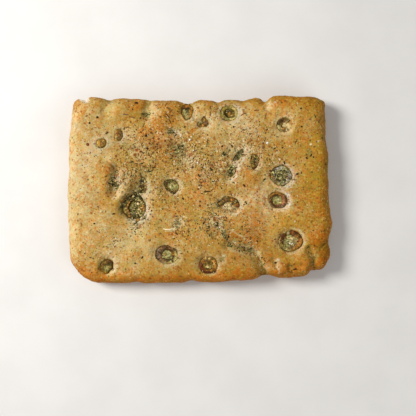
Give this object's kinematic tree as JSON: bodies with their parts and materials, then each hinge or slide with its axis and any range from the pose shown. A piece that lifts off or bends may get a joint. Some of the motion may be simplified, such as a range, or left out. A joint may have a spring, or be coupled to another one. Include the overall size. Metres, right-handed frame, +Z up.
{
  "type": "olive and herb focaccia",
  "caption": "Rectangular slab of focaccia with a dimpled golden crust, sliced olives sunk in it and dried herbs, lying flat.",
  "frame": {"origin": "middle of the slab's box, on the flat underside", "axes": "+X along the slab's length, +Y across it towards the edge with the two olives at the rim, +Z up out of the dimpled crust"},
  "size_m": [0.252, 0.1784, 0.0329],
  "materials": {
    "crust": "matte baked crust, golden with browner domes, paler hollows and green-brown herb flecks",
    "olive": "soft, slightly oily baked olive flesh, olive green to purple brown"
  },
  "bodies": {
    "root": {"bread": "crust", "olive_01": "olive", "olive_02": "olive", "olive_03": "olive", "olive_04": "olive", "olive_05": "olive", "olive_06": "olive", "olive_07": "olive", "olive_08": "olive", "olive_09": "olive", "olive_10": "olive", "olive_11": "olive", "olive_12": "olive", "olive_13": "olive", "olive_14": "olive", "olive_15": "olive", "olive_16": "olive", "olive_17": "olive", "olive_18": "olive", "olive_19": "olive"}
  },
  "joints": []
}
